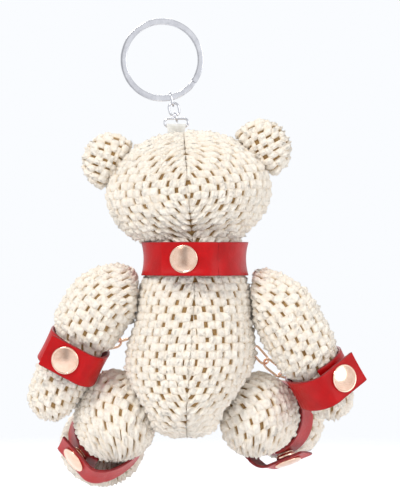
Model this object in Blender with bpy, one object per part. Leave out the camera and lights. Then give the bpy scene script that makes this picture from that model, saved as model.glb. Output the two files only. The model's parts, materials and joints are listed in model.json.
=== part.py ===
"""Plush bear keychain: a stuffed bear with snap-fastened straps, hung on a split ring.

The bear faces -Y, +Z is up and +X is the bear's left. The origin is the inside top of
the split ring, where a finger or a hook would hold it. Lengths below are millimetres.
"""
import math

import bmesh
import bpy
from mathutils import Matrix, Vector

MM = 0.001
GAP = 0.3                     # air left between neighbouring solids

# ---- split ring and the short silver chain ------------------------------------------
RING_INNER_RADIUS = 12.8
RING_OUTER_RADIUS = 15.0
RING_DEPTH = 2.4              # two flat coils, side by side
CHAIN_LEAN = math.radians(13.7)
WIRE = 0.9                    # links, loop ring and wrist chain
LINK_WIDTH = 4.4
LINK_CORNER = 1.5
LINK_SPANS = ((12.15, 17.15), (16.05, 20.65), (19.55, 22.9))   # from the ring's centre
LOOP_RING_AT = 21.8           # its top bar, from the split ring's centre
LOOP_RING_WIDTH = 9.4
LOOP_RING_HEIGHT = 3.8
LOOP_RING_CORNER = 1.5

# ---- ribbon loop sewn into the crown ------------------------------------------------
RIBBON_WIDTH = 6.9
RIBBON_THICKNESS = 0.4
RIBBON_SEWN_DEPTH = 1.2

# ---- head ---------------------------------------------------------------------------
BODY_Y = 3.0                  # the bear's middle plane lies a little behind the ring
HEAD_CENTRE = Vector((-9.6, BODY_Y, -60.5))
HEAD_HALF = Vector((30.5, 23.0, 22.0))
HEAD_ROLL = math.radians(4.5)
COVER = 2.4                   # thick woven pile, with its backing
EAR_CENTRES = {"left": Vector((27.1, 0.5, 13.0)), "right": Vector((-27.1, 0.5, 13.0))}
EAR_RADII = {"left": 9.2, "right": 9.8}
EAR_HALF_DEPTH = 4.6
MUZZLE_CENTRE = Vector((0.0, -20.5, -6.5))
MUZZLE_HALF = Vector((11.0, 8.5, 8.2))
NOSE_CENTRE = Vector((0.0, -28.4, -3.4))
NOSE_HALF = Vector((3.9, 2.6, 2.6))
EYE_RADIUS = 2.3
EYE_ANGLE = math.radians(24)
EYE_HEIGHT = 3.6

# ---- neck and torso -----------------------------------------------------------------
NECK_X = -11.8
COLLAR_Z = -84.6
COLLAR_RADIUS = 17.5          # inside of the strap
NECK_RADIUS = 16.2
NECK_SPLIT_Z = -82.6          # the head turns on the torso at this height
NECK_OPENING = 12.0
HIP_X = -8.0
# height, centre x, half width, half depth
TORSO_SECTIONS = (
    (-91.2, -11.8, 18.6, 15.8), (-96.4, -11.8, 20.6, 17.6), (-104.0, -11.5, 21.6, 19.0),
    (-114.0, -10.8, 22.8, 19.6), (-124.0, -9.8, 23.3, 19.6), (-133.0, -8.9, 21.8, 18.6),
    (-140.0, -8.3, 18.6, 16.2), (-145.5, -8.0, 13.2, 11.8), (-148.4, -8.0, 6.5, 6.0),
)
TORSO_BOTTOM_Z = -149.2

# ---- arms: centre line points and radii, shoulder to hand ---------------------------
SHOULDER_Z = -98.0
SHOULDER_OFFSET = 20.8
SHOULDER_RECESS = 15.2
ARM_LINES = {
    "left": ((15.0, 0.0, -97.5, 11.5), (21.3, 0.5, -100.0, 12.8), (26.9, -0.5, -108.9, 12.5),
             (31.8, -2.5, -118.9, 11.6), (37.0, -4.5, -129.0, 10.0), (39.9, -5.5, -134.6, 9.2)),
    "right": ((-36.6, 0.0, -98.8, 11.0), (-43.3, 2.0, -103.4, 12.0), (-47.9, 2.5, -111.5, 12.2),
              (-52.4, 1.5, -119.6, 11.8), (-57.3, -0.5, -127.8, 10.6), (-60.6, -2.5, -134.0, 9.2)),
}

# ---- legs: hip centre, direction, length to the middle of the foot ------------------
HIP_Y = -6.0
HIP_Z = -141.3
HIP_OFFSET = 12.4             # inner face of each thigh, from the middle of the seat
HIP_RECESS = 16.8
LEG_SWING = math.radians(13)  # room left in front of the belly for the thigh to lift
LEG_HIP_X = {"left": 16.0, "right": -33.8}
LEG_DIRECTIONS = {"left": Vector((0.22, -0.87, -0.43)), "right": Vector((-0.38, -0.91, -0.12))}
LEG_LENGTH = 30.0
ANKLE_AT = 17.5               # middle of the ankle strap, from the hip
THIGH_HALF_WIDTH = 12.6
THIGH_HALF_HEIGHT = 15.8
ANKLE_HALF = 13.2
FOOT_HALF = 14.4

# ---- straps -------------------------------------------------------------------------
STRAP_WIDTH = 12.0
STRAP_THICKNESS = 1.0
STRAP_SKEW = 1.0              # the under end sits this much off the flap's line
FLAP_LIFT = 3.3               # inside of the flap, above the inside of the wrap
FLAP_HINGE = 6.0              # hinge line, from the snap's centre
FLAP_END = 8.0
UNDER_END = math.radians(28)
WRAP_LEAVES = math.radians(250)
CUFF_RADIUS = 10.3
ANKLE_RADIUS = 12.9
SNAP_CAP_RADIUS = 5.0
BARREL_RADIUS = 0.9
HOLE_RADIUS = 1.2
SNAP_SEGMENTS = 18

# ---- gold chain between the wrists --------------------------------------------------
WRIST_LINKS = 12
WRIST_LINK_WIDTH = 5.0
LINK_PLAY = 0.25              # air between the wires of two joined links
STAPLE_WIDTH = 5.6
STAPLE_REACH = 3.2            # how far each cuff staple stands out
STAPLE_SKEW = 0.4             # the strap's middle line has drifted this far beside it
# over the lap and across the front of the belly
WRIST_CHAIN_ROUTE = (
    (-41.5, -14.5, -126.0), (-36.5, -17.0, -121.0), (-31.5, -19.0, -115.8),
    (-24.0, -20.5, -112.6), (-11.0, -21.5, -111.0), (4.0, -20.5, -112.2), (17.0, -18.0, -115.2),
)

COLOURS = {
    # name: (base colour, metallic, roughness)
    "cream_pile": ((0.86, 0.78, 0.64), 0.0, 0.95),
    "stuffing": ((0.93, 0.93, 0.92), 0.0, 1.0),
    "red_leather": ((0.55, 0.01, 0.015), 0.0, 0.35),
    "rose_gold": ((0.86, 0.62, 0.50), 1.0, 0.22),
    "silver": ((0.72, 0.72, 0.74), 1.0, 0.18),
    "white_satin": ((0.90, 0.89, 0.86), 0.0, 0.45),
    "black_bead": ((0.012, 0.010, 0.010), 0.0, 0.08),
    "brown_thread": ((0.10, 0.045, 0.025), 0.0, 0.8),
}


# =====================================================================================
# Mesh helpers
# =====================================================================================
def make_material(name):
    """Return the named Principled material, making it on first use."""
    if name in bpy.data.materials:
        return bpy.data.materials[name]
    colour, metallic, roughness = COLOURS[name]
    material = bpy.data.materials.new(name)
    material.use_nodes = True
    shader = material.node_tree.nodes["Principled BSDF"]
    shader.inputs["Base Color"].default_value = (*colour, 1.0)
    shader.inputs["Metallic"].default_value = metallic
    shader.inputs["Roughness"].default_value = roughness
    return material


def add_object(name, bm, material, origin=Vector((0, 0, 0))):
    """Make an object from a bmesh in millimetres, with its origin at the given point."""
    bmesh.ops.recalc_face_normals(bm, faces=bm.faces)
    bmesh.ops.translate(bm, vec=-origin, verts=bm.verts)
    bmesh.ops.scale(bm, vec=(MM, MM, MM), verts=bm.verts)
    mesh = bpy.data.meshes.new(name)
    bm.to_mesh(mesh)
    bm.free()
    mesh.shade_smooth()
    mesh.set_sharp_from_angle(angle=math.radians(35))
    obj = bpy.data.objects.new(name, mesh)
    obj.location = origin * MM
    bpy.context.collection.objects.link(obj)
    if material:
        mesh.materials.append(make_material(material))
    return obj


def skin(rings, closed_path=False, tips=(None, None)):
    """Skin rings of equal length; the ends get a tip point or a flat cap."""
    bm = bmesh.new()
    grid = [[bm.verts.new(point) for point in ring] for ring in rings]
    count = len(grid[0])
    pairs = list(zip(grid, grid[1:]))
    if closed_path:
        pairs.append((grid[-1], grid[0]))
    for lower, upper in pairs:
        for i in range(count):
            j = (i + 1) % count
            bm.faces.new((lower[i], lower[j], upper[j], upper[i]))
    if not closed_path:
        for ring, tip in ((grid[0], tips[0]), (grid[-1], tips[1])):
            if tip is None:
                bm.faces.new(ring)
                continue
            point = bm.verts.new(tip)
            for i in range(count):
                bm.faces.new((ring[i], ring[(i + 1) % count], point))
    return bm


def boolean(obj, bm, operation):
    """Apply an exact boolean between an object and a bmesh given in millimetres."""
    tool = add_object(obj.name + "_tool", bm, None)
    tool.data.materials.append(obj.data.materials[0])
    modifier = obj.modifiers.new(operation, "BOOLEAN")
    modifier.operation = operation
    modifier.solver = "EXACT"
    modifier.object = tool
    bpy.context.view_layer.update()
    evaluated = obj.evaluated_get(bpy.context.evaluated_depsgraph_get())
    mesh = bpy.data.meshes.new_from_object(evaluated)
    obj.modifiers.clear()
    obj.data = mesh
    mesh.name = obj.name
    bpy.data.objects.remove(tool)
    return obj


def cut(obj, *cutters):
    """Cut every bmesh away from the object."""
    for cutter in cutters:
        boolean(obj, cutter, "DIFFERENCE")
    return obj


def ellipsoid(centre, half, rotation=None, rings=14, segments=28):
    """An ellipsoid, with its poles on its own Z axis."""
    turn = rotation or Matrix.Identity(3)
    loops = []
    for i in range(1, rings):
        tilt = math.pi * i / rings
        loops.append([
            centre + turn @ Vector((half.x * math.sin(tilt) * math.cos(a),
                                    half.y * math.sin(tilt) * math.sin(a),
                                    half.z * math.cos(tilt)))
            for a in angles(segments)])
    pole = turn @ Vector((0, 0, half.z))
    return skin(loops, tips=(centre + pole, centre - pole))


def angles(count):
    """Evenly spaced angles round a circle."""
    return [math.tau * i / count for i in range(count)]


def box(low, high):
    """An axis-aligned box between two corners."""
    bm = bmesh.new()
    bmesh.ops.create_cube(bm, size=1.0)
    low, high = Vector(low), Vector(high)
    for vert in bm.verts:
        vert.co = Vector((low[i] if vert.co[i] < 0 else high[i]) for i in range(3))
    return bm


def frame_of(origin, z_axis, x_hint):
    """A 4x4 frame with Z along z_axis and X as near x_hint as it can be."""
    z = z_axis.normalized()
    x = (x_hint - z * x_hint.dot(z)).normalized()
    y = z.cross(x)
    matrix = Matrix((x, y, z)).transposed().to_4x4()
    matrix.translation = origin
    return matrix


def lathe(frame, profile, segments=24, ring=False):
    """Turn (radius, height) points about the frame's Z axis; ring closes the profile."""
    def loop(radius, height):
        return [frame @ Vector((radius * math.cos(a), radius * math.sin(a), height))
                for a in angles(segments)]
    if ring:
        return skin([loop(*point) for point in profile], closed_path=True)
    first, *middle, last = profile
    tips = (frame @ Vector((0, 0, first[1])), frame @ Vector((0, 0, last[1])))
    return skin([loop(*point) for point in middle], tips=tips)


def rod(frame, radius, low, high, segments=20):
    """A plain cylinder on the frame's Z axis."""
    return lathe(frame, ((0, low), (radius, low), (radius, high), (0, high)), segments)


def spline(points, count):
    """Read count evenly spaced points from a Catmull-Rom curve through the points."""
    points = [Vector(p) for p in points]
    ends = [points[0] * 2 - points[1]] + points + [points[-1] * 2 - points[-2]]
    fine = []
    for a, b, c, d in zip(ends, ends[1:], ends[2:], ends[3:]):
        for i in range(24):
            t = i / 24
            fine.append(0.5 * (2 * b + (c - a) * t + (2 * a - 5 * b + 4 * c - d) * t * t
                               + (3 * b - a - 3 * c + d) * t ** 3))
    fine.append(points[-1])
    lengths = [0.0]
    for a, b in zip(fine, fine[1:]):
        lengths.append(lengths[-1] + (b.xyz - a.xyz).length)
    result = []
    place = 0
    for i in range(count):
        target = lengths[-1] * i / (count - 1)
        while place < len(fine) - 2 and lengths[place + 1] < target:
            place += 1
        step = lengths[place + 1] - lengths[place]
        share = (target - lengths[place]) / step if step else 0.0
        result.append(fine[place].lerp(fine[place + 1], min(1.0, share)))
    return result


def stuffed_limb(stations, inset=0.0, count=13, segments=22):
    """A round-ended limb through (x, y, z, half width, half height) stations."""
    line = spline([s[:3] for s in stations], count)
    spread = [Vector((s[3] - inset, s[4] - inset, 0)) for s in stations]
    sizes = spline_values([Vector(s[:3]) for s in stations], spread, line)
    start, end = (line[1] - line[0]).normalized(), (line[-1] - line[-2]).normalized()
    loops = []
    caps = ((line[0], start, sizes[0], -1), (line[-1], end, sizes[-1], 1))
    for tilt in (15, 38, 64):
        loops.append(section(*caps[0][:3], tilt, -1, segments))
    for before, here, after, size in zip([line[0]] + line, line, line[1:] + [line[-1]], sizes):
        loops.append(section(here, (after - before).normalized(), size, 90, 0, segments))
    for tilt in (64, 38, 15):
        loops.append(section(*caps[1][:3], tilt, 1, segments))
    tips = (line[0] - start * sizes[0].x, line[-1] + end * sizes[-1].x)
    return skin(loops, tips=tips)


def spline_values(knots, values, line):
    """Interpolate values at the knots along the line, smoothly, by distance."""
    marks = [0.0]
    for a, b in zip(knots, knots[1:]):
        marks.append(marks[-1] + (b - a).length)
    total = marks[-1]
    result = []
    for i in range(len(line)):
        target = total * i / (len(line) - 1)
        k = max(j for j in range(len(marks) - 1) if marks[j] <= target + 1e-9)
        t = (target - marks[k]) / (marks[k + 1] - marks[k])
        t = t * t * (3 - 2 * t)
        result.append(values[k].lerp(values[k + 1], t))
    return result


def section(centre, direction, size, tilt, side, segments):
    """One ring of a limb; a tilt under 90 degrees is a ring of its rounded end."""
    up = Vector((0, 0.3, 1)) if abs(direction.z) < 0.9 else Vector((0, 1, 0))
    frame = frame_of(centre, direction, up.cross(direction))
    radius = math.sin(math.radians(tilt))
    lift = math.cos(math.radians(tilt)) * side * size.x
    return [frame @ Vector((size.x * radius * math.cos(a), size.y * radius * math.sin(a), lift))
            for a in angles(segments)]


def wire_loop(frame, length, width, corner, wire=WIRE, arc=3, sides=6):
    """A closed wire, long in the frame's Z and wide in its X, with round corners."""
    half_l, half_w = (length - wire) / 2, (width - wire) / 2
    corner = min(corner, half_w, half_l)
    path = []
    for sx, sz, start in ((1, 1, 0), (-1, 1, 90), (-1, -1, 180), (1, -1, 270)):
        middle = Vector((sx * (half_w - corner), 0, sz * (half_l - corner)))
        for i in range(arc + 1):
            a = math.radians(start + 90 * i / arc)
            out = Vector((math.cos(a), 0, math.sin(a)))
            path.append((middle + out * corner, out))
    loops = []
    for point, out in path:
        if loops and (point - previous).length < 1e-6:
            continue
        previous = point
        loops.append([frame @ (point + (out * math.cos(a) + Vector((0, 1, 0)) * math.sin(a)) * wire / 2)
                      for a in angles(sides)])
    if (path[0][0] - path[-1][0]).length < 1e-6:
        loops.pop()
    return skin(loops, closed_path=True)


def strip(frame, path, width):
    """A flat strap: (x, y, skew) points of its middle line, swept across its width."""
    half = STRAP_THICKNESS / 2
    loops = []
    for i, (x, y, skew) in enumerate(path):
        ahead, behind = path[min(i + 1, len(path) - 1)], path[max(i - 1, 0)]
        along = Vector((ahead[0] - behind[0], ahead[1] - behind[1], 0)).normalized()
        out = Vector((along.y, -along.x, 0)) * half
        middle = Vector((x, y, skew))
        edge = Vector((0, 0, width / 2))
        loops.append([frame @ p for p in (middle - out - edge, middle + out - edge,
                                          middle + out + edge, middle - out + edge)])
    return skin(loops)


# =====================================================================================
# Split ring, silver chain and ribbon
# =====================================================================================
def along_chain(distance):
    """A point on the hanging line, measured from the split ring's centre."""
    centre = Vector((0, 0, -RING_INNER_RADIUS))
    return centre + chain_direction() * distance


def chain_direction():
    return Vector((-math.sin(CHAIN_LEAN), 0, -math.cos(CHAIN_LEAN)))


def build_split_ring():
    frame = frame_of(Vector((0, 0, -RING_INNER_RADIUS)), Vector((0, 1, 0)), Vector((1, 0, 0)))
    half, bevel = RING_DEPTH / 2, 0.4
    profile = ((RING_INNER_RADIUS, -half + bevel), (RING_INNER_RADIUS + bevel, -half),
               (RING_OUTER_RADIUS - bevel, -half), (RING_OUTER_RADIUS, -half + bevel),
               (RING_OUTER_RADIUS, half - bevel), (RING_OUTER_RADIUS - bevel, half),
               (RING_INNER_RADIUS + bevel, half), (RING_INNER_RADIUS, half - bevel))
    add_object("split_ring", lathe(frame, profile, segments=40, ring=True), "silver")


def build_silver_links():
    wide = (Vector((0, 1, 0)), Vector((1, 0, 0)), Vector((0, 1, 0)))
    for number, (near, far) in enumerate(LINK_SPANS):
        middle = along_chain((near + far) / 2)
        frame = frame_of(middle, -chain_direction(), wide[number])
        loop = wire_loop(frame, far - near + WIRE, LINK_WIDTH, LINK_CORNER)
        add_object(f"chain_link_{number + 1}", loop, "silver", along_chain(near))


def loop_ring_bars():
    """Middle of the loop ring's top bar and of its lower bar."""
    top = along_chain(LOOP_RING_AT)
    return top, top - Vector((0, 0, LOOP_RING_HEIGHT - WIRE))


def build_loop_ring():
    top, lower = loop_ring_bars()
    frame = frame_of((top + lower) / 2, Vector((0, 0, 1)), Vector((1, 0, 0)))
    loop = wire_loop(frame, LOOP_RING_HEIGHT, LOOP_RING_WIDTH, LOOP_RING_CORNER)
    add_object("loop_ring", loop, "silver", top)


def ribbon_outline(radius, foot_z):
    """Outline of the folded ribbon seen from its edge: round the bar and straight down."""
    bar = loop_ring_bars()[1]
    points = [Vector((0, radius * math.cos(a), bar.z + radius * math.sin(a)))
              for a in (math.pi * i / 8 for i in range(9))]
    return points + [Vector((0, -radius, foot_z)), Vector((0, radius, foot_z))]


def extrude_x(outline, low, high):
    """Extrude an outline in the YZ plane from low to high along X."""
    rings = [[Vector((x, p.y, p.z)) for p in outline] for x in (low, high)]
    return skin(rings)


def build_ribbon():
    bar = loop_ring_bars()[1]
    inner = WIRE / 2 + GAP * 0.8
    outer = inner + RIBBON_THICKNESS
    foot = head_top_z() - RIBBON_SEWN_DEPTH + GAP
    low, high = bar.x - RIBBON_WIDTH / 2, bar.x + RIBBON_WIDTH / 2
    ribbon = add_object("hanging_loop", extrude_x(ribbon_outline(outer, foot), low, high),
                        "white_satin")
    cut(ribbon, extrude_x(ribbon_outline(inner, foot + RIBBON_THICKNESS), low - 1, high + 1))


def head_top_z():
    """Height of the head's surface where the ribbon enters it."""
    bar = loop_ring_bars()[1]
    side = (bar.x - HEAD_CENTRE.x) / HEAD_HALF.x
    back = HEAD_CENTRE.y / HEAD_HALF.y
    return HEAD_CENTRE.z + HEAD_HALF.z * math.sqrt(1 - side ** 2 - back ** 2)


# =====================================================================================
# Head
# =====================================================================================
def head_turn():
    return Matrix.Rotation(HEAD_ROLL, 3, "Y")


def on_head(offset):
    """A point given from the head's centre, in the head's own rolled frame."""
    return HEAD_CENTRE + head_turn() @ offset


def head_solid(inset):
    grow = Vector((inset, inset, inset))
    return ellipsoid(HEAD_CENTRE, HEAD_HALF - grow, head_turn(), rings=14, segments=28)


def neck_frame():
    return frame_of(Vector((NECK_X, BODY_Y, 0)), Vector((0, 0, 1)), Vector((1, 0, 0)))


def below_head():
    """Everything under the collar's top edge."""
    top = COLLAR_Z + STRAP_WIDTH / 2 + GAP
    return box((-60, -60, -130), (60, 60, top)), top


def build_head():
    cover = add_object("head_cover", head_solid(0), "cream_pile")
    under, top = below_head()
    cut(cover, under)
    neck = rod(neck_frame(), NECK_RADIUS, NECK_SPLIT_Z + GAP / 2, top + 1.5, segments=36)
    boolean(cover, neck, "UNION")
    stuffing = add_object("head_stuffing", head_solid(COVER + GAP), "stuffing")
    cavity = add_object("head_cavity", head_solid(COVER), "stuffing")
    for solid, extra in ((stuffing, 0), (cavity, GAP)):
        cut(solid, box((-60, -60, -130), (60, 60, top + COVER - extra)))
        low = NECK_SPLIT_Z + GAP if solid is stuffing else NECK_SPLIT_Z - 2
        plug = rod(neck_frame(), NECK_OPENING - GAP + extra, low, top + 6, segments=30)
        boolean(solid, plug, "UNION")
    cut(cover, mesh_of(cavity))
    bar = loop_ring_bars()[1]
    pocket = WIRE / 2 + 0.24 + RIBBON_THICKNESS + GAP
    cut(cover, box((bar.x - RIBBON_WIDTH / 2 - GAP, -pocket, head_top_z() - RIBBON_SEWN_DEPTH),
                   (bar.x + RIBBON_WIDTH / 2 + GAP, pocket, head_top_z() + 5)))


def mesh_of(obj):
    """Take an object's mesh back as a bmesh in millimetres, and remove the object."""
    bm = bmesh.new()
    bm.from_mesh(obj.data)
    bmesh.ops.transform(bm, matrix=obj.matrix_world, verts=bm.verts)
    bmesh.ops.scale(bm, vec=(1 / MM,) * 3, verts=bm.verts)
    bpy.data.objects.remove(obj)
    return bm


def build_ears():
    for side, offset in EAR_CENTRES.items():
        radius = EAR_RADII[side]
        half = Vector((radius, EAR_HALF_DEPTH, radius))
        bm = ellipsoid(on_head(offset), half, head_turn(), rings=10, segments=24)
        ear = add_object(f"ear_{side}", bm, "cream_pile", on_head(offset))
        cut(ear, head_solid(-GAP))


def build_face():
    grow = Vector((GAP, GAP, GAP))
    muzzle = add_object("muzzle", ellipsoid(on_head(MUZZLE_CENTRE), MUZZLE_HALF, head_turn()),
                        "cream_pile", on_head(MUZZLE_CENTRE))
    cut(muzzle, head_solid(-GAP))
    nose = add_object("nose", ellipsoid(on_head(NOSE_CENTRE), NOSE_HALF, head_turn(), 10, 20),
                      "brown_thread", on_head(NOSE_CENTRE))
    cut(nose, ellipsoid(on_head(MUZZLE_CENTRE), MUZZLE_HALF + grow, head_turn()))
    for side, sign in (("left", 1), ("right", -1)):
        flat = math.sqrt(1 - (EYE_HEIGHT / HEAD_HALF.z) ** 2)
        centre = on_head(Vector((sign * HEAD_HALF.x * flat * math.sin(EYE_ANGLE),
                                 -HEAD_HALF.y * flat * math.cos(EYE_ANGLE), EYE_HEIGHT)))
        bead = ellipsoid(centre, Vector((1, 1, 1)) * EYE_RADIUS, rings=10, segments=18)
        cut(add_object(f"eye_{side}", bead, "black_bead", centre), head_solid(-GAP))


# =====================================================================================
# Torso and limbs
# =====================================================================================
def torso_solid(inset):
    """Pear-shaped trunk from under the collar to the seat, with the neck stub on top."""
    loops = []
    for z, x, wide, deep in TORSO_SECTIONS:
        loops.append([Vector((x + (wide - inset) * math.cos(t),
                              BODY_Y + (deep - inset) * math.sin(t), z))
                      for t in angles(28)])
    top = Vector((NECK_X, BODY_Y, loops[0][0].z - inset))
    for point in loops[0]:
        point.z -= inset
    bottom = Vector((HIP_X, BODY_Y, TORSO_BOTTOM_Z + inset))
    loops = [ring for ring in loops if ring[0].z > bottom.z + 0.4]
    return skin(loops, tips=(top, bottom))


def leg_room(side, grow):
    """Space that a thigh sweeps as the leg lifts and drops about the hip line."""
    sign = 1 if side == "left" else -1
    radius = HIP_RECESS + grow
    lift = math.pi / 2 - LEG_SWING
    rear = [Vector((0, HIP_Y + BODY_Y + radius * math.cos(a), HIP_Z + radius * math.sin(a)))
            for a in (lift - (lift + math.pi / 2) * i / 12 for i in range(13))]
    reach = 60.0
    up = Vector((0, -math.cos(LEG_SWING), math.sin(LEG_SWING))) * reach
    outline = rear + [rear[-1] + Vector((0, -reach, 0)), tangent_point(radius) + up,
                      tangent_point(radius)]
    inner = HIP_X + sign * (HIP_OFFSET - GAP - grow)
    return extrude_x(outline, *sorted((inner, inner + sign * 40)))


def tangent_point(radius):
    """Where the thigh's lifted top line touches the round of the hip recess."""
    return Vector((0, HIP_Y + BODY_Y - radius * -math.sin(LEG_SWING),
                   HIP_Z + radius * math.cos(LEG_SWING) + 0.01))


def shoulder_room(side, grow):
    """Round pocket in the trunk's side in which the shoulder turns."""
    sign = 1 if side == "left" else -1
    frame = frame_of(Vector((NECK_X, BODY_Y, SHOULDER_Z)), Vector((sign, 0, 0)), Vector((0, 0, 1)))
    inner = SHOULDER_OFFSET - GAP - grow
    return rod(frame, SHOULDER_RECESS + grow, inner, inner + 30, segments=32)


def build_torso():
    cover = add_object("torso_cover", torso_solid(0), "cream_pile")
    stub_top = NECK_SPLIT_Z - GAP / 2
    neck = rod(neck_frame(), NECK_RADIUS, TORSO_SECTIONS[0][0] - 1.0, stub_top, segments=36)
    boolean(cover, neck, "UNION")
    stuffing = add_object("torso_stuffing", torso_solid(COVER + GAP), "stuffing")
    cavity = add_object("torso_cavity", torso_solid(COVER), "stuffing")
    for solid, room in ((stuffing, COVER + GAP), (cavity, COVER)):
        extra = COVER + GAP - room
        high = stub_top - GAP if solid is stuffing else stub_top + 2
        plug = rod(neck_frame(), NECK_OPENING - GAP + extra, TORSO_SECTIONS[0][0] - 8, high, 30)
        boolean(solid, plug, "UNION")
        for side in ("left", "right"):
            cut(solid, leg_room(side, room), shoulder_room(side, room))
    for side in ("left", "right"):
        cut(cover, leg_room(side, 0), shoulder_room(side, 0))
    cut(cover, mesh_of(cavity))


def strap_groove(frame, radius):
    """Ring-shaped room for a strap round a limb."""
    half = STRAP_WIDTH / 2 + STRAP_SKEW + GAP
    inner = radius - 1.3
    return lathe(frame, ((inner, -half), (30, -half), (30, half), (inner, half)), 36, ring=True)


def build_arms():
    for side, stations in ARM_LINES.items():
        sign = 1 if side == "left" else -1
        line = [(x, y + BODY_Y, z, r, r) for x, y, z, r in stations]
        arm = add_object(f"arm_{side}", stuffed_limb(line), "cream_pile",
                         Vector((NECK_X + sign * SHOULDER_OFFSET, BODY_Y, SHOULDER_Z)))
        inner = NECK_X + sign * SHOULDER_OFFSET
        cut(arm, box((min(inner, inner - sign * 60), -60, -160), (max(inner, inner - sign * 60), 60, -60)))
        cut(arm, strap_groove(*strap_place(f"wrist_{side}")[:2]))


def hip(side):
    return Vector((LEG_HIP_X[side], HIP_Y + BODY_Y, HIP_Z))


def build_legs():
    for side, direction in LEG_DIRECTIONS.items():
        sign = 1 if side == "left" else -1
        aim = direction.normalized()
        stations = ((0.0, THIGH_HALF_WIDTH, THIGH_HALF_HEIGHT), (8.0, ANKLE_HALF, ANKLE_HALF),
                    (ANKLE_AT, ANKLE_HALF, ANKLE_HALF), (LEG_LENGTH, FOOT_HALF, FOOT_HALF))
        line = [(*(hip(side) + aim * reach), wide, high) for reach, wide, high in stations]
        leg = add_object(f"leg_{side}", stuffed_limb(line, segments=26), "cream_pile", hip(side))
        inner = HIP_X + sign * HIP_OFFSET
        cut(leg, box((min(inner, inner - sign * 60), -90, -190), (max(inner, inner - sign * 60), 60, -90)))
        cut(leg, strap_groove(*strap_place(f"ankle_{side}")[:2]))


# =====================================================================================
# Straps and snaps
# =====================================================================================
def strap_place(name):
    """Frame and inside radius of a strap: Z along the limb, X through its snap."""
    if name == "collar":
        centre = Vector((NECK_X, BODY_Y, COLLAR_Z))
        return frame_of(centre, Vector((0, 0, -1)), Vector((0.17, 0.98, 0))), COLLAR_RADIUS
    kind, side = name.split("_")
    if kind == "wrist":
        line = ARM_LINES[side]
        at = 3 if side == "left" else 4
        centre = Vector(line[at][:3]) + Vector((0, BODY_Y, 0))
        down = Vector(line[at + 1][:3]) - Vector(line[at - 1][:3])
        if side == "left":
            return frame_of(centre, down, Vector((0.1, 0.99, 0))), CUFF_RADIUS
        return frame_of(centre, -down, Vector((-0.54, 0.84, 0))), CUFF_RADIUS
    aim = LEG_DIRECTIONS[side].normalized()
    centre = hip(side) + aim * ANKLE_AT
    if side == "left":
        return frame_of(centre, aim, Vector((0.64, 0.66, -0.40))), ANKLE_RADIUS
    return frame_of(centre, -aim, Vector((-0.31, 0.25, -0.89))), ANKLE_RADIUS


def wrap_path(radius, skew):
    """Middle line of the fixed strap: under end, once round, then out to the hinge."""
    middle = radius + STRAP_THICKNESS / 2
    path = []
    turns = 34
    for i in range(turns + 1):
        share = i / turns
        a = -UNDER_END + (WRAP_LEAVES + UNDER_END) * share
        path.append((middle * math.cos(a), middle * math.sin(a), skew * (1 - share)))
    start = Vector(path[-1][:2])
    along = Vector((-math.sin(WRAP_LEAVES), math.cos(WRAP_LEAVES)))
    end = Vector((radius + FLAP_LIFT + STRAP_THICKNESS / 2, -FLAP_HINGE - GAP / 2))
    handle = 0.55 * middle
    controls = (start, start + along * handle, end - Vector((0, handle)), end)
    for i in range(1, 11):
        t = i / 10
        weights = ((1 - t) ** 3, 3 * t * (1 - t) ** 2, 3 * t * t * (1 - t), t ** 3)
        x, y = (sum(w * c[k] for w, c in zip(weights, controls)) for k in (0, 1))
        path.append((x, y, 0.0))
    return path


def snap_frame(frame):
    """Frame of the snap: Z points out through the cap."""
    out = frame.col[0].xyz
    return frame_of(frame.translation, out, frame.col[2].xyz)


def build_strap(name):
    frame, radius = strap_place(name)
    snap = snap_frame(frame)
    hinge = frame @ Vector((radius + FLAP_LIFT + STRAP_THICKNESS, -FLAP_HINGE, 0))
    under = radius + STRAP_THICKNESS
    over = radius + FLAP_LIFT

    path = wrap_path(radius, 0.0 if name == "collar" else STRAP_SKEW)
    wrap = add_object(f"{name}_wrap", strip(frame, path, STRAP_WIDTH), "red_leather",
                      frame.translation)
    cut(wrap, rod(snap, HOLE_RADIUS, radius - 2, under + 1))

    flap_line = [(over + STRAP_THICKNESS / 2, y, 0.0)
                 for y in (-FLAP_HINGE + GAP / 2, -3.0, 0.0, 3.0, FLAP_END)]
    flap = add_object(f"{name}_flap", strip(frame, flap_line, STRAP_WIDTH), "red_leather", hinge)
    cut(flap, rod(snap, HOLE_RADIUS, over - 1, over + 2))

    top = over + STRAP_THICKNESS + 0.25
    cap = ((0, over - 0.6), (BARREL_RADIUS, over - 0.6), (BARREL_RADIUS, top),
           (SNAP_CAP_RADIUS, top), (SNAP_CAP_RADIUS, top + 0.6), (4.0, top + 1.05),
           (2.0, top + 1.45), (0, top + 1.55))
    add_object(f"{name}_snap_cap", lathe(snap, cap, SNAP_SEGMENTS), "rose_gold", hinge)

    socket = ((HOLE_RADIUS, over - 0.3), (3.7, over - 0.3), (3.7, over - 1.5),
              (1.95, over - 1.5), (1.95, over - 0.65), (HOLE_RADIUS, over - 0.65))
    socket = lathe(snap, socket, SNAP_SEGMENTS, ring=True)
    add_object(f"{name}_snap_socket", socket, "rose_gold", hinge)

    stud = ((0, radius - 0.95), (2.5, radius - 0.95), (2.5, radius - 0.5),
            (BARREL_RADIUS, radius - 0.5), (BARREL_RADIUS, under + 0.2), (3.2, under + 0.2),
            (3.2, under + 0.55), (1.7, under + 0.55), (1.7, under + 1.4), (0, under + 1.4))
    stud = lathe(snap, stud, SNAP_SEGMENTS)
    add_object(f"{name}_snap_stud", stud, "rose_gold", frame.translation)


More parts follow.
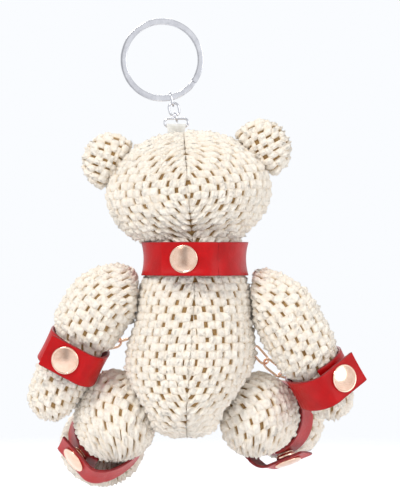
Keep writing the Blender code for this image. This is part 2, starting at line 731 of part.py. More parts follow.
# =====================================================================================
# Gold chain between the wrist cuffs
# =====================================================================================
def staple_frame(side):
    """Frame of a cuff's staple: Z points out of the cuff, X runs along the arm."""
    frame, radius = strap_place(f"wrist_{side}")
    out = -frame.col[0].xyz
    skew = frame.col[2].xyz * STAPLE_SKEW
    low, high = radius - 0.75, radius + STRAP_THICKNESS + STAPLE_REACH
    middle = frame.translation + skew + out * (low + high) / 2
    return frame_of(middle, out, frame.col[2].xyz), high - low + WIRE


def staple_bar(side):
    """Middle of the staple's outer bar, which the end link hangs on, and its direction."""
    frame, length = staple_frame(side)
    return frame @ Vector((0, 0, (length - WIRE) / 2)), frame.col[0].xyz


def build_staples():
    for side in ("left", "right"):
        frame, length = staple_frame(side)
        staple = wire_loop(frame, length, STAPLE_WIDTH, 1.4)
        add_object(f"wrist_staple_{side}", staple, "rose_gold", staple_bar(side)[0])
        wrap = bpy.data.objects[f"wrist_{side}_wrap"]
        for edge in (-1, 1):
            hole = frame @ Matrix.Translation((edge * (STAPLE_WIDTH - WIRE) / 2, 0, 0))
            cut(wrap, rod(hole, WIRE / 2 + 0.35, -length, length, segments=12))


def build_wrist_chain():
    """Links between the two staples, each a quarter turn from the last."""
    reach = WIRE + LINK_PLAY
    (first, first_bar), (last, last_bar) = staple_bar("right"), staple_bar("left")
    route = [Vector(p) + Vector((0, BODY_Y, 0)) for p in WRIST_CHAIN_ROUTE]
    start = first - (route[0] - first).normalized() * reach / 2
    end = last - (route[-1] - last).normalized() * reach / 2
    stops = spline([start, *route, end], WRIST_LINKS + 1)
    alongs = [(b - a).normalized() for a, b in zip(stops, stops[1:])]
    twist = 0.0
    for _ in range(2):
        wides = turned_widths(alongs, first_bar.cross(alongs[0]), twist)
        wanted = last_bar.cross(alongs[-1]).normalized()
        miss = math.atan2(wides[-1].cross(wanted).dot(alongs[-1]), wides[-1].dot(wanted))
        miss = (miss + math.pi / 2) % math.pi - math.pi / 2
        twist += miss / (WRIST_LINKS - 1)
    for number, (a, b) in enumerate(zip(stops, stops[1:])):
        frame = frame_of((a + b) / 2, alongs[number], wides[number])
        length = (b - a).length + reach + WIRE
        loop = wire_loop(frame, length, WRIST_LINK_WIDTH, WRIST_LINK_WIDTH)
        add_object(f"wrist_chain_link_{number + 1:02d}", loop, "rose_gold", first)


def turned_widths(alongs, wide, twist):
    """Carry a link's width direction down the chain, a quarter turn and a twist a link."""
    wide = wide.normalized()
    result = [wide]
    for before, along in zip(alongs, alongs[1:]):
        wide = before.rotation_difference(along) @ wide
        wide = Matrix.Rotation(math.pi / 2 + twist, 3, along) @ wide
        result.append(wide.normalized())
    return result


def main():
    for obj in list(bpy.data.objects):
        bpy.data.objects.remove(obj, do_unlink=True)
    build_split_ring()
    build_silver_links()
    build_loop_ring()
    build_ribbon()
    build_head()
    build_ears()
    build_face()
    build_torso()
    build_arms()
    build_legs()
    for name in ("collar", "wrist_left", "wrist_right", "ankle_left", "ankle_right"):
        build_strap(name)
    build_staples()
    build_wrist_chain()


main()
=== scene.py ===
"""Plush bear keychain: the looks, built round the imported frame. The bear faces -Y, +Z is up."""

import json
import math

import bmesh
import bpy
import numpy as np
from mathutils import Matrix, Vector
from mathutils.bvhtree import BVHTree


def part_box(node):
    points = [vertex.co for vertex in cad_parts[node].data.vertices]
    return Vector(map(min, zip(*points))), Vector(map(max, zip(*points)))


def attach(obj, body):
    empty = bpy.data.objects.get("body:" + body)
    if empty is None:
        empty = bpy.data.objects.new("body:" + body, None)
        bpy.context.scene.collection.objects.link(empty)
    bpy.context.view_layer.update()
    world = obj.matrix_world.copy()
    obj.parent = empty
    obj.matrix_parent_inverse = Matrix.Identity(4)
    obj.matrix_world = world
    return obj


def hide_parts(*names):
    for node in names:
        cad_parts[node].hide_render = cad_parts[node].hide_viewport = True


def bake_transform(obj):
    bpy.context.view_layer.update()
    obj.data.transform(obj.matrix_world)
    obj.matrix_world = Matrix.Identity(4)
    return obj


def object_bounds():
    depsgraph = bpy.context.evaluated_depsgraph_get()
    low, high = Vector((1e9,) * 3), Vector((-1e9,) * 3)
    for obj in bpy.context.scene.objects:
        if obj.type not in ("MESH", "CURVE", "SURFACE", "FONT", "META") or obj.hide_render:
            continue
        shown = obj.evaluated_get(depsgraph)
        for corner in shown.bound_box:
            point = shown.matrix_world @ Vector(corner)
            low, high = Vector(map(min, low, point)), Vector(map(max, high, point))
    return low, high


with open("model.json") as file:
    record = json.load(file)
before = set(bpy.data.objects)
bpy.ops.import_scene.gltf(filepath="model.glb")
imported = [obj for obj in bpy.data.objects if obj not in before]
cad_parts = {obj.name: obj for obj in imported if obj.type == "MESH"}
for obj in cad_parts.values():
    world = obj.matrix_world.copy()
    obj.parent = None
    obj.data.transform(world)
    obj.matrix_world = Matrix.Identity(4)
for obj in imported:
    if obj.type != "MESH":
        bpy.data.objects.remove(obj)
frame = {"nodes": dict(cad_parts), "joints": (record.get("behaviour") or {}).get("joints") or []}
CAD_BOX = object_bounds()

MM = 0.001
JOINTS = {joint["name"]: joint for joint in frame["joints"]}
RANDOM = np.random.default_rng(11)

# ---- weave of the plush ----
ROW = 2.65 * MM               # pitch of the rows
PUFF = 3.2 * MM               # pitch of the puffs in a row; two puffs make a brick
SLIT = 0.8 * MM              # hole between two bricks
PILE = 1.45 * MM              # height of a puff above the backing
INSET = 1.0 * MM              # the backing lies this far inside the CAD surface
LEG_INSETS = {"left": -0.9 * MM, "right": 0.1 * MM}    # the same for the legs, which are fuller
EAR_INSET = -1.0 * MM
SEAM_DIP = 0.6 * MM           # depth of the crease along a seam
SEAM_WIDTH = 1.2 * MM

# ---- straps ----
STRAP_WIDTH = 12.0 * MM
STRAP_THICKNESS = 1.0 * MM
FLAP_LIFT = 3.3 * MM
FLAP_HINGE = 6.0 * MM
FLAP_END = 8.0 * MM
UNDER_END = math.radians(28)
WRAP_LEAVES = math.radians(250)
STRAP_RADII = {"collar": 17.5 * MM, "wrist_left": 10.3 * MM, "wrist_right": 10.3 * MM,
               "ankle_left": 12.9 * MM, "ankle_right": 12.9 * MM}
STRAP_BODIES = {"collar": "collar", "wrist_left": "arm_left", "wrist_right": "arm_right",
                "ankle_left": "ankle_cuff_left", "ankle_right": "ankle_cuff_right"}

# ---- metal wire ----
WIRE = 0.9 * MM
RING_INNER = 12.8 * MM
RING_OUTER = 15.0 * MM
RING_DEPTH = 2.4 * MM


# ---- materials ----
def srgb(red, green, blue):
    """A colour given in 0-255 display values, as linear light with alpha."""
    def linear(value):
        value /= 255
        return value / 12.92 if value <= 0.04045 else ((value + 0.055) / 1.055) ** 2.4
    return (linear(red), linear(green), linear(blue), 1.0)


class Shader:
    """A node material under construction."""

    def __init__(self, name, **sockets):
        self.material = bpy.data.materials.new(name)
        self.material.use_nodes = True
        self.tree = self.material.node_tree
        self.surface = self.tree.nodes["Principled BSDF"]
        for socket, value in sockets.items():
            self.surface.inputs[socket.replace("_", " ")].default_value = value

    def add(self, kind, inputs=None, **settings):
        made = self.tree.nodes.new(kind)
        for key, value in settings.items():
            setattr(made, key, value)
        for key, value in (inputs or {}).items():
            if isinstance(value, bpy.types.NodeSocket):
                self.tree.links.new(value, made.inputs[key])
            else:
                made.inputs[key].default_value = value
        return made

    def place(self):
        return self.add("ShaderNodeTexCoord").outputs["Object"]

    def noise(self, scale, detail=3.0, rough=0.55, place=None):
        made = self.add("ShaderNodeTexNoise", {"Vector": place or self.place(), "Scale": scale,
                                               "Detail": detail, "Roughness": rough})
        return made.outputs["Fac"]

    def cells(self, scale, place=None, feature="F1"):
        made = self.add("ShaderNodeTexVoronoi", {"Vector": place or self.place(), "Scale": scale},
                        feature=feature)
        return made.outputs["Distance"]

    def attribute(self, name):
        return self.add("ShaderNodeAttribute", attribute_name=name).outputs["Fac"]

    def ramp(self, value, stops):
        made = self.add("ShaderNodeValToRGB", {"Fac": value})
        band = made.color_ramp
        while len(band.elements) < len(stops):
            band.elements.new(0.5)
        for element, (at, colour) in zip(band.elements, stops):
            element.position = at
            element.color = colour
        return made.outputs["Color"]

    def mix(self, share, first, second, blend="MIX"):
        made = self.add("ShaderNodeMix", data_type="RGBA", blend_type=blend)
        for key, value in ((0, share), (6, first), (7, second)):
            if isinstance(value, bpy.types.NodeSocket):
                self.tree.links.new(value, made.inputs[key])
            else:
                made.inputs[key].default_value = value
        return made.outputs[2]

    def math(self, operation, first, second=0.5):
        return self.add("ShaderNodeMath", {0: first, 1: second}, operation=operation).outputs[0]

    def span(self, value, low, high):
        made = self.add("ShaderNodeMapRange", {"Value": value, "To Min": low, "To Max": high})
        return made.outputs["Result"]

    def link(self, value, socket):
        self.tree.links.new(value, self.surface.inputs[socket])

    def paint(self, value, low, high, first, second):
        """Base colour between two display colours, as a value goes from low to high."""
        self.link(self.ramp(value, ((low, srgb(*first)), (high, srgb(*second)))), "Base Color")

    def bump(self, *layers):
        """Stack (height, distance) layers of bump on the surface normal."""
        normal = None
        for height, distance in layers:
            inputs = {"Height": height, "Distance": distance}
            if normal:
                inputs["Normal"] = normal
            normal = self.add("ShaderNodeBump", inputs).outputs["Normal"]
        self.link(normal, "Normal")


def chenille_material():
    shader = Shader("cream_chenille", Roughness=0.95, Sheen_Weight=0.5, Sheen_Roughness=0.5,
                    Sheen_Tint=srgb(255, 248, 236))
    pile, tone = shader.attribute("pile"), shader.attribute("tone")
    fuzz = shader.noise(1700, 5.0, 0.7)
    patch = shader.noise(120, 2.0)
    curl = shader.cells(1500, feature="SMOOTH_F1")
    # Colour by height in the pile: the lowest stop is the tan backing's own colour; the darkening from
    # the cream tops down the puffs' sides into the holes between bricks is painted shade.
    height = shader.math("ADD", pile, shader.span(fuzz, -0.12, 0.12))
    colour = shader.ramp(height, ((0.0, srgb(158, 120, 64)), (0.09, srgb(206, 174, 122)),
                                  (0.22, srgb(240, 226, 200)), (0.5, srgb(253, 246, 234)),
                                  (1.0, srgb(255, 251, 242))))
    colour = shader.mix(shader.span(tone, 0.0, 0.12), colour, srgb(244, 222, 198), "MULTIPLY")
    colour = shader.mix(shader.span(patch, 0.0, 0.10), colour, srgb(250, 226, 200), "MULTIPLY")
    # Painted shade: darker tan where the fuzz noise, which also drives the bump, is low.
    colour = shader.mix(shader.span(fuzz, 0.26, -0.04), colour, srgb(206, 176, 136), "MULTIPLY")
    shader.link(colour, "Base Color")
    shader.bump((curl, 0.30 * MM), (fuzz, 0.42 * MM), (shader.noise(4200, 2.0), 0.14 * MM))
    return shader.material


def backing_material():
    shader = Shader("tan_backing", Roughness=0.95, Sheen_Weight=0.15)
    weave = shader.add("ShaderNodeTexWave", {"Vector": shader.place(), "Scale": 900.0,
                                             "Distortion": 1.5}).outputs["Fac"]
    stops = ((0.25, srgb(136, 100, 52)), (0.75, srgb(192, 156, 102)))
    colour = shader.ramp(shader.noise(700, 3.0), stops)
    shader.link(shader.mix(shader.span(weave, 0.0, 0.3), colour, srgb(146, 112, 66)), "Base Color")
    shader.bump((weave, 0.15 * MM), (shader.noise(2500, 3.0), 0.15 * MM))
    return shader.material


def leather_material():
    shader = Shader("red_leather_face", Roughness=0.4, Coat_Weight=0.05, Coat_Roughness=0.2)
    shader.surface.inputs["Specular IOR Level"].default_value = 0.2
    blotch = shader.noise(160, 3.0)
    grain = shader.cells(2600, feature="SMOOTH_F1")
    colour = shader.ramp(blotch, ((0.3, srgb(164, 0, 3)), (0.7, srgb(188, 1, 7))))
    shader.link(shader.mix(shader.span(grain, 0.25, 0.0), colour, srgb(140, 0, 4)), "Base Color")
    shader.link(shader.span(shader.noise(420, 3.0), 0.30, 0.46), "Roughness")
    shader.bump((grain, 0.05 * MM), (shader.noise(5200, 3.0), 0.03 * MM),
                (shader.noise(240, 2.0), 0.12 * MM))
    return shader.material


def noisy_material(name, noise, colours, bumps, low=0.3, **sockets):
    """Colour from one noise; each bump is (noise, depth in mm), or (None, depth) for the same one."""
    shader = Shader(name, **sockets)
    tone = shader.noise(*noise)
    shader.paint(tone, low, low + 0.4, *colours)
    shader.bump(*((shader.noise(*own) if own else tone, depth * MM) for own, depth in bumps))
    return shader.material


def metal_material(name, light, dark, roughness):
    shader = Shader(name, Metallic=1.0, Roughness=roughness)
    wear = shader.noise(380, 4.0, 0.6)
    scratch = shader.noise(1800, 2.0, place=shader.add(
        "ShaderNodeMapping", {"Vector": shader.place(), "Scale": (1.0, 0.12, 1.0)}).outputs["Vector"])
    shader.link(shader.ramp(wear, ((0.35, light), (0.8, dark))), "Base Color")
    shader.link(shader.span(wear, roughness * 0.7, roughness * 1.6), "Roughness")
    shader.bump((scratch, 0.008 * MM), (shader.noise(260, 2.0), 0.02 * MM))
    return shader.material


def satin_material():
    shader = Shader("white_satin_ribbon", Roughness=0.42, Sheen_Weight=0.4, Anisotropic=0.5)
    ribs = shader.add("ShaderNodeTexWave", {"Vector": shader.place(), "Scale": 2300.0,
                                            "Distortion": 0.6}, bands_direction="X").outputs["Fac"]
    shader.paint(shader.noise(500, 3.0), 0.3, 0.7, (226, 223, 214), (248, 247, 243))
    shader.bump((ribs, 0.06 * MM), (shader.noise(300, 2.0), 0.25 * MM))
    return shader.material


CHENILLE = chenille_material()
BACKING = backing_material()
LEATHER = leather_material()
LEATHER_EDGE = noisy_material("painted_edge", (900, 3.0), ((104, 4, 10), (142, 12, 18)),
                              [((2200, 4.0), 0.08)], Roughness=0.5)
LEATHER_BACK = noisy_material("leather_back", (1400, 5.0, 0.7), ((120, 14, 20), (158, 30, 34)),
                              [((3200, 5.0, 0.7), 0.12)], Roughness=0.9, Sheen_Weight=0.2)
ROSE_GOLD = metal_material("rose_gold_plate", srgb(246, 214, 192), srgb(226, 184, 158), 0.14)
SILVER = metal_material("nickel_plate", srgb(226, 226, 230), srgb(196, 196, 202), 0.10)
SATIN = satin_material()
BEAD = noisy_material("black_bead_gloss", (900, 2.0), ((4, 3, 3), (12, 10, 9)),
                      [((300, 2.0), 0.01)], low=0.4, Roughness=0.06, Coat_Weight=0.6,
                      Coat_Roughness=0.04)
THREAD = noisy_material("brown_stitching", (2600, 3.0), ((44, 24, 16), (92, 58, 42)),
                        [(None, 0.06)], Roughness=0.7, Sheen_Weight=0.5)
WADDING = noisy_material("white_wadding", (260, 6.0, 0.75), ((206, 206, 204), (246, 246, 244)),
                         [(None, 1.2), ((1800, 4.0, 0.8), 0.4)], Roughness=1.0, Sheen_Weight=0.3)


# ---- mesh helpers ----
def add_piece(name, points, faces, materials, indices=None, sharp=None, attributes=None):
    """Make an object from points in metres and faces, with optional point attributes."""
    mesh = bpy.data.meshes.new(name)
    mesh.from_pydata(np.asarray(points).tolist(), [], faces)
    for material in materials:
        mesh.materials.append(material)
    if indices is not None:
        mesh.polygons.foreach_set("material_index", indices)
    for key, values in (attributes or {}).items():
        mesh.attributes.new(key, "FLOAT", "POINT").data.foreach_set("value", values)
    mesh.shade_smooth()
    if sharp:
        mesh.set_sharp_from_angle(angle=math.radians(sharp))
    mesh.update()
    obj = bpy.data.objects.new(name, mesh)
    bpy.context.collection.objects.link(obj)
    return obj


def finish_piece(obj, body, slot, *nodes):
    """Say what a piece moves with and which CAD nodes it stands for; slot, the finish it is given, is
    not used.
    """
    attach(obj, body)
    if nodes:
        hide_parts(*nodes)
    return obj


def frame_of(origin, z_axis, x_hint):
    """A frame with Z along z_axis and X as near x_hint as it can be."""
    z = z_axis.normalized()
    x = (x_hint - z * x_hint.dot(z)).normalized()
    matrix = Matrix((x, z.cross(x), z)).transposed().to_4x4()
    matrix.translation = origin
    return matrix


def node_points(node):
    mesh = frame["nodes"][node].data
    points = np.empty(len(mesh.vertices) * 3)
    mesh.vertices.foreach_get("co", points)
    return points.reshape(-1, 3)


def principal_frame(node):
    """A node's frame, with Z along its longest side and Y along its thinnest, and its spans."""
    unique = np.unique(np.round(node_points(node), 6), axis=0)
    centre = unique.mean(0)
    axes = np.linalg.eigh(np.cov((unique - centre).T))[1]
    long, thin = Vector(axes[:, 2]), Vector(axes[:, 0])
    made = frame_of(Vector(centre), long, thin.cross(long))
    local = (unique - centre) @ axes[:, ::-1]
    return made, np.ptp(local, axis=0)


def tube_faces(rings, sides, closed_path=False):
    """Faces between equal rings of points; an open tube gets two end caps."""
    faces = []
    for i in range(rings if closed_path else rings - 1):
        j = (i + 1) % rings
        for k in range(sides):
            m = (k + 1) % sides
            faces.append((i * sides + k, i * sides + m, j * sides + m, j * sides + k))
    if not closed_path:
        faces.append(tuple(range(sides))[::-1])
        faces.append(tuple((rings - 1) * sides + k for k in range(sides)))
    return faces


def sweep(name, loops, materials, closed_path=False, sides=0, sharp=None, indices=None):
    """Skin equal loops of points into a tube; open tubes get end caps of material number sides."""
    count, size = len(loops), len(loops[0])
    points = [p for loop in loops for p in loop]
    faces = tube_faces(count, size, closed_path)
    if indices is not None:
        per_side = list(indices)
        indices = [per_side[i % size] for i in range(len(faces))]
        if not closed_path:
            indices[-1] = indices[-2] = sides
    obj = add_piece(name, points, faces, materials, indices, sharp)
    settle_normals(obj)
    return obj


def settle_normals(obj):
    """Turn a closed mesh's faces outwards."""
    bm = bmesh.new()
    bm.from_mesh(obj.data)
    bmesh.ops.recalc_face_normals(bm, faces=bm.faces)
    bm.to_mesh(obj.data)
    bm.free()


def heading(path, i, closed=False):
    """Unit direction of a path of points at point i."""
    if closed:
        ahead, behind = path[(i + 1) % len(path)], path[i - 1]
    else:
        ahead, behind = path[min(i + 1, len(path) - 1)], path[max(i - 1, 0)]
    return (ahead - behind).normalized()


def box_outline(half_x, half_y, corner, steps):
    """Points round a box with rounded corners."""
    spots = []
    for sx, sy, first in ((1, 1, 0), (-1, 1, 90), (-1, -1, 180), (1, -1, 270)):
        for i in range(steps + 1):
            a = math.radians(first + 90 * i / steps)
            spots.append((sx * (half_x - corner) + corner * math.cos(a),
                          sy * (half_y - corner) + corner * math.sin(a)))
    return spots


def wire_loops(path, radius, sides=12, closed=True):
    """Round loops along a path of points, carried without twist."""
    loops = []
    side = None
    for i, point in enumerate(path):
        along = heading(path, i, closed)
        if side is None:
            side = along.orthogonal()
        side = (side - along * side.dot(along)).normalized()
        other = along.cross(side)
        loops.append([point + (side * math.cos(a) + other * math.sin(a)) * radius
                      for a in (math.tau * k / sides for k in range(sides))])
    return loops


def turned(name, place, profile, material, segments=64, sharp=40, ring=False):
    """Turn a (radius, height) profile about the frame's Z axis."""
    loops = []
    turns = [(math.cos(math.tau * k / segments), math.sin(math.tau * k / segments))
             for k in range(segments)]
    for radius, height in profile:
        radius = max(radius, 0.004 * MM)
        loops.append([place @ Vector((radius * c, radius * s, height)) for c, s in turns])
    return sweep(name, loops, [material], closed_path=ring, sharp=sharp)


def rounded(profile, radius=0.08 * MM, steps=3):
    """Round the corners of a (radius, height) profile a little."""
    points = [Vector(p) for p in profile]
    result = [points[0]]
    for before, here, after in zip(points, points[1:], points[2:]):
        first, second = before - here, after - here
        reach = min(radius, first.length * 0.45, second.length * 0.45)
        start, end = here + first.normalized() * reach, here + second.normalized() * reach
        for i in range(steps + 1):
            t = i / steps
            result.append(start * (1 - t) ** 2 + here * 2 * t * (1 - t) + end * t * t)
    result.append(points[-1])
    return [tuple(p) for p in result]


# ---- plush: backing and woven puffs ----
def outside(mesh):
    """A mesh's surface as a tree that rays can be cast at."""
    faces = [tuple(p.vertices) for p in mesh.polygons]
    return BVHTree.FromPolygons([v.co for v in mesh.vertices], faces)


def ring_plan(spine, start_tilt, end_tilt, step):
    """(centre, tilt) of each ring: a fan at the start, square along the spine, a fan at the end."""
    plan = [(spine[0], tilt) for tilt in np.arange(start_tilt, 88, step)]
    length = sum((b - a).length for a, b in zip(spine, spine[1:]))
    if length > 1e-6:
        count = max(2, int(length / (1.0 * MM)))
        marks = np.cumsum([0] + [(b - a).length for a, b in zip(spine, spine[1:])])
        table = np.array([tuple(p) for p in spine])
        for mark in np.linspace(0, length, count):
            plan.append((Vector([np.interp(mark, marks, table[:, k]) for k in range(3)]), 90.0))
    else:
        plan.append((spine[0], 90.0))
    plan += [(spine[-1], tilt) for tilt in np.arange(90 + step, end_tilt + 0.1, step)]
    return plan


def surface_grid(node, spine, axis, zero, start_tilt=4, end_tilt=176, around=96, step=4.0,
                 stretch=None):
    """Points on the node's outside, ring by ring along its axis; stretch spreads the rays."""
    tree = outside(frame["nodes"][node].data)
    axis = axis.normalized()
    zero = (zero - axis * zero.dot(axis)).normalized()
    third = axis.cross(zero)
    grid = []
    for centre, tilt in ring_plan(spine, start_tilt, end_tilt, step):
        ring = []
        for k in range(around):
            turn = math.tau * k / around
            sideways = zero * math.cos(turn) + third * math.sin(turn)
            away = sideways * math.sin(math.radians(tilt)) - axis * math.cos(math.radians(tilt))
            if stretch:
                away = (away + stretch * away.dot(stretch) / stretch.length).normalized()
            hit = tree.ray_cast(centre + away * 0.1, -away)[0]
            if hit is None:
                hit = tree.find_nearest(centre + away * 0.005)[0]
            ring.append(tuple(hit))
        grid.append(ring)
    return np.array(grid)


def smooth_grid(grid, passes):
    """Even out a grid of rings, keeping its first and last rings."""
    for _ in range(passes):
        grid = 0.5 * grid + 0.25 * (np.roll(grid, 1, 1) + np.roll(grid, -1, 1))
        inner = grid.copy()
        inner[1:-1] = 0.5 * grid[1:-1] + 0.25 * (grid[:-2] + grid[2:])
        grid = inner
    return grid


def fill_hollows(grid, passes):
    """Let the stuffing push out the hollows that the limbs' pockets leave in the surface."""
    centre = grid.mean(1, keepdims=True)
    for _ in range(passes):
        smoothed = smooth_grid(grid, 1)
        further = np.linalg.norm(smoothed - centre, axis=2) > np.linalg.norm(grid - centre, axis=2)
        grid = np.where(further[..., None], smoothed, grid)
    return grid


def grid_normals(grid):
    along = np.gradient(grid, axis=0)
    around = np.roll(grid, -1, 1) - np.roll(grid, 1, 1)
    normal = np.cross(around, along)
    normal /= np.linalg.norm(normal, axis=2, keepdims=True) + 1e-12
    centre = grid.mean((0, 1))
    if ((grid - centre) * normal).sum() < 0:
        normal = -normal
    return normal


def inflate(name, grid, pins, pressure=6.0, limit=0.9 * MM):
    """Blow the shell up as cloth under pressure, held along its seams and under its straps."""
    scale = 20.0
    rings, around = grid.shape[:2]
    points = grid.reshape(-1, 3) * scale
    obj = add_piece(name + "_sim", points, tube_faces(rings, around), [])
    settle_normals(obj)
    group = obj.vertex_groups.new(name="pins")
    for index, weight in enumerate(pins.reshape(-1)):
        if weight > 0.02:
            group.add([index], float(weight), "REPLACE")
    cloth = obj.modifiers.new("cloth", "CLOTH")
    settings = cloth.settings
    settings.quality = 4
    settings.mass = 0.15
    settings.tension_stiffness = 12
    settings.compression_stiffness = 12
    settings.shear_stiffness = 6
    settings.bending_stiffness = 0.8
    settings.use_pressure = True
    settings.uniform_pressure_force = pressure
    settings.effector_weights.gravity = 0.0
    settings.vertex_group_mass = "pins"
    cloth.collision_settings.use_collision = False
    cloth.point_cache.frame_start, cloth.point_cache.frame_end = 1, 20
    scene = bpy.context.scene
    for number in range(1, 21):
        scene.frame_set(number)
    evaluated = obj.evaluated_get(bpy.context.evaluated_depsgraph_get())
    result = np.empty(len(evaluated.data.vertices) * 3)
    evaluated.data.vertices.foreach_get("co", result)
    scene.frame_set(1)
    bpy.data.objects.remove(obj)
    moved = result.reshape(grid.shape) / scale - grid
    length = np.linalg.norm(moved, axis=2, keepdims=True)
    print(f"cloth {name}: mean {length.mean() / MM:.2f} mm, most {length.max() / MM:.2f} mm")
    return grid + moved * np.minimum(1.0, limit / (length + 1e-9))


class Panel:
    """Cloth on both sides of a reference line, out to a seam at each side."""

    def __init__(self, grid, normals, middle, half_span, samples=64):
        around = grid.shape[1]
        self.sides = {}
        steps = int(round(half_span / 360 * around))
        start = int(round(middle / 360 * around))
        for sign in (-1, 1):
            index = (start + sign * np.arange(steps + 1)) % around
            points, normal = grid[:, index], normals[:, index]
            gaps = np.linalg.norm(np.diff(points, axis=1), axis=2)
            arcs = np.concatenate([np.zeros((len(grid), 1)), gaps.cumsum(1)], axis=1)
            lengths = arcs[:, -1]
            even = np.empty((len(grid), samples + 1, 6))
            for r in range(len(grid)):
                wanted = np.linspace(0, lengths[r], samples + 1)
                for c in range(3):
                    even[r, :, c] = np.interp(wanted, arcs[r], points[r, :, c])
                    even[r, :, c + 3] = np.interp(wanted, arcs[r], normal[r, :, c])
            self.sides[sign] = (even, lengths)
        self.samples = samples

    def reach(self, sign, ring):
        return np.interp(ring, np.arange(len(self.sides[sign][1])), self.sides[sign][1])

    def read(self, ring, across):
        """Points and normals at fractional rings and signed distances from the middle."""
        result = np.zeros(ring.shape + (6,))
        beyond = np.zeros(ring.shape)
        for sign in (-1, 1):
            mask = across >= 0 if sign > 0 else across < 0
            if not mask.any():
                continue
            even, lengths = self.sides[sign]
            low = np.clip(np.floor(ring[mask]).astype(int), 0, len(lengths) - 2)
            share = np.clip(ring[mask] - low, 0, 1)[:, None]
            value = np.abs(across[mask])
            parts = []
            for r in (low, low + 1):
                place = np.clip(value / np.maximum(lengths[r], 1e-6), 0, 1) * self.samples
                cell = np.minimum(place.astype(int), self.samples - 1)
                t = (place - cell)[:, None]
                parts.append(even[r, cell] * (1 - t) + even[r, cell + 1] * t)
            result[mask] = parts[0] * (1 - share) + parts[1] * share
            limit = lengths[low] * (1 - share[:, 0]) + lengths[low + 1] * share[:, 0]
            beyond[mask] = np.maximum(0, value - limit)
        normal = result[..., 3:]
        normal /= np.linalg.norm(normal, axis=-1, keepdims=True) + 1e-12
        return result[..., :3], normal, beyond


def brick_template(columns=21, rows=9):
    """Points of one brick, as (across -1..1, along -1..1, height 0..1), and its faces."""
    across = np.sin(np.linspace(-1, 1, columns) * math.pi / 2 * 0.92) / math.sin(math.pi / 2 * 0.92)
    along = np.sin(np.linspace(-1, 1, rows) * math.pi / 2 * 0.9) / math.sin(math.pi / 2 * 0.9)
    x, y = np.meshgrid(across, along, indexing="ij")
    lobe = np.abs((np.abs(x) - 0.5) / 0.5)
    dome = np.clip(1 - lobe ** 2.2, 0, 1) ** 0.5
    middle = 0.52 * np.clip(1 - (np.abs(x) / 0.62) ** 4, 0, 1) ** 0.5
    height = np.maximum(dome, middle) * np.clip(1 - np.abs(y) ** 2.2, 0, 1) ** 0.6
    points = np.stack([x, y, height], axis=-1).reshape(-1, 3)
    faces = []
    for i in range(columns - 1):
        for j in range(rows - 1):
            a = i * rows + j
            faces.append((a, a + rows, a + rows + 1, a + 1))
    rim = [i * rows for i in range(columns)]
    rim += [(columns - 1) * rows + j for j in range(1, rows)]
    rim += [i * rows + rows - 1 for i in range(columns - 2, -1, -1)]
    rim += [j for j in range(rows - 2, 0, -1)]
    bottom = len(points)
    points = np.vstack([points, (0, 0, -0.5)])
    for a, b in zip(rim, rim[1:] + rim[:1]):
        faces.append((b, a, bottom))
    edge = np.zeros(len(points), bool)
    edge[rim] = True
    return points, np.array([f if len(f) == 4 else f + (-1,) for f in faces]), edge


WAVES = RANDOM.normal(size=(3, 14, 3))
WAVES /= np.linalg.norm(WAVES, axis=2, keepdims=True)
PHASES = RANDOM.uniform(0, math.tau, (3, 14))
LENGTHS = (2.4 * MM, 1.1 * MM, 0.62 * MM)


def lumps(points, layer):
    """Smooth pseudo-random field, about -1..1, of one wave length."""
    angle = points @ (WAVES[layer].T * math.tau / LENGTHS[layer]) + PHASES[layer]
    return np.sin(angle).sum(-1) / 3.2


def weave_bricks(panels, grid, press, rng, row, puff, pile):
    """Bricks of puffs over the panels. press(points) is 0..1 where a strap holds them down."""
    template, faces, edge = brick_template()
    steps = np.linalg.norm(np.diff(grid, axis=0), axis=2).mean(1)
    marks = np.concatenate([[0], steps.cumsum()])
    rows = int(marks[-1] / row)
    points, piles, tones = [], [], []
    for panel in panels:
        for i in range(rows):
            place = (i + 0.5) * marks[-1] / rows
            ring = np.interp(place, marks, np.arange(len(marks)))
            for sign in (-1, 1):
                limit = panel.reach(sign, ring)
                count = int(limit / (2 * puff)) + 2
                for j in range(count):
                    middle = (2 * j + (i % 2)) * puff
                    if j == 0 and i % 2 == 0 and sign < 0:
                        continue
                    if middle - puff * 0.75 > limit:
                        continue
                    width = puff - SLIT / 2
                    jitter = rng.normal(0, 0.06, 4)
                    x = sign * middle + template[:, 0] * width * (1 + jitter[0]) + jitter[1] * puff
                    y = place + template[:, 1] * row * (0.70 + 0.3 * jitter[2]) + jitter[3] * row * 0.8
                    ring_at = np.interp(y, marks, np.arange(len(marks)))
                    base, normal, beyond = panel.read(ring_at, x)
                    held = press(base)
                    height = template[:, 2] * (1 + 1.2 * jitter[2])
                    height = np.where(beyond > 0.35 * MM, -0.3, height)
                    height = np.where(edge, np.minimum(height, -0.3), height)
                    lift = height * pile * (1 - 0.55 * held)
                    moved = base + normal * lift[:, None]
                    bump = 0.16 * lumps(moved, 1) + 0.15 * lumps(moved, 2) + 0.12 * lumps(moved, 0)
                    moved += normal * (bump * np.clip(height, 0, 1) * (1 - 0.6 * held) * pile)[:, None]
                    points.append(moved)
                    piles.append(np.clip(height, 0, 1))
                    tones.append(np.full(len(moved), rng.uniform()))
    size = len(template)
    count = len(points)
    offsets = (np.arange(count) * size)[:, None, None]
    all_faces = np.where(faces[None] < 0, -1, faces[None] + offsets).reshape(-1, 4)
    return np.vstack(points), all_faces, np.concatenate(piles), np.concatenate(tones)


